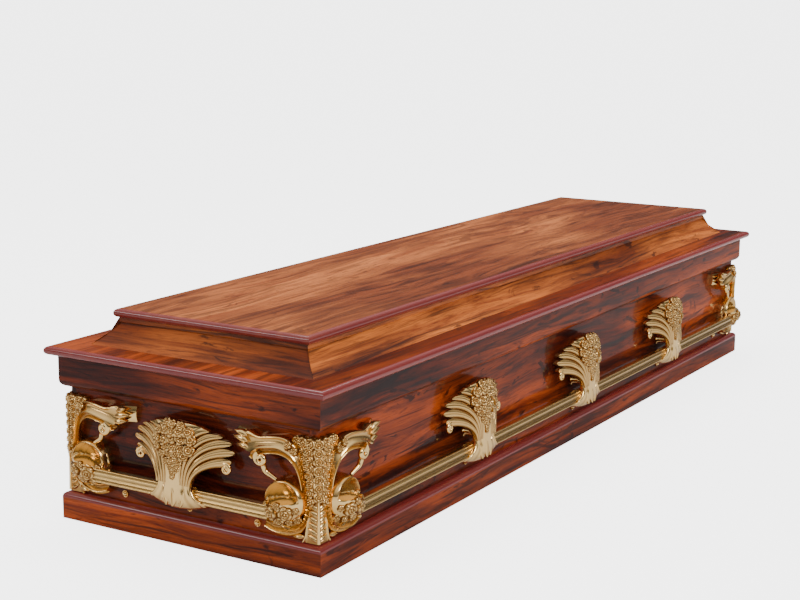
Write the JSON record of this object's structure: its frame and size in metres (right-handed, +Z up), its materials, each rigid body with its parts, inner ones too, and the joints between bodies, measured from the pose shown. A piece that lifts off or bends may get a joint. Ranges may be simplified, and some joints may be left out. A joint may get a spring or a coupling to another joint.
{
  "type": "wooden coffin",
  "caption": "Rectangular lacquered wooden coffin with a stepped flat-topped lid, gilt cast corner brackets, and grip bars held by floral lugs on all sides.",
  "frame": {"origin": "on the ground, under the middle of the plinth", "axes": "+X along the coffin, +Y across it, +Z up"},
  "size_m": [2.074, 0.646, 0.389],
  "materials": {
    "wall_wood": "high-gloss lacquered red-brown figured wood",
    "edge_wood": "high-gloss lacquered mahogany-red edge",
    "slope_wood": "high-gloss lacquered orange-brown figured wood",
    "top_wood": "high-gloss lacquered figured top board",
    "inner_board": "plain board",
    "gold_casting": "polished gold-plated casting",
    "gold_bar": "satin antique-gold reeded bar"
  },
  "bodies": {
    "root": {"floor_board": "inner_board", "side_board_front": "wall_wood", "side_board_back": "wall_wood", "end_board_left": "wall_wood", "end_board_right": "wall_wood", "plinth_front": "wall_wood", "plinth_back": "wall_wood", "plinth_left": "wall_wood", "plinth_right": "wall_wood", "rim_moulding_front": "wall_wood", "rim_moulding_back": "wall_wood", "rim_moulding_left": "wall_wood", "rim_moulding_right": "wall_wood", "lid_flange": "edge_wood", "lid_slope_front": "slope_wood", "lid_slope_back": "slope_wood", "lid_slope_left": "slope_wood", "lid_slope_right": "slope_wood", "lid_top_board": "top_wood", "grip_bar_front": "gold_bar", "grip_bar_back": "gold_bar", "grip_bar_left": "gold_bar", "grip_bar_right": "gold_bar", "bar_lug_front_1": "gold_casting", "bar_lug_front_2": "gold_casting", "bar_lug_front_3": "gold_casting", "bar_lug_back_1": "gold_casting", "bar_lug_back_2": "gold_casting", "bar_lug_back_3": "gold_casting", "bar_lug_left": "gold_casting", "bar_lug_right": "gold_casting", "screw_cap_front_1": "gold_casting", "screw_cap_front_2": "gold_casting", "screw_cap_front_3": "gold_casting", "screw_cap_front_a": "gold_casting", "screw_cap_front_b": "gold_casting", "screw_cap_back_1": "gold_casting", "screw_cap_back_2": "gold_casting", "screw_cap_back_3": "gold_casting", "screw_cap_back_a": "gold_casting", "screw_cap_back_b": "gold_casting", "screw_cap_left": "gold_casting", "screw_cap_left_a": "gold_casting", "screw_cap_left_b": "gold_casting", "screw_cap_right": "gold_casting", "screw_cap_right_a": "gold_casting", "screw_cap_right_b": "gold_casting", "corner_bracket_front_left": "gold_casting", "corner_bracket_front_right": "gold_casting", "corner_bracket_back_right": "gold_casting", "corner_bracket_back_left": "gold_casting"}
  },
  "joints": []
}
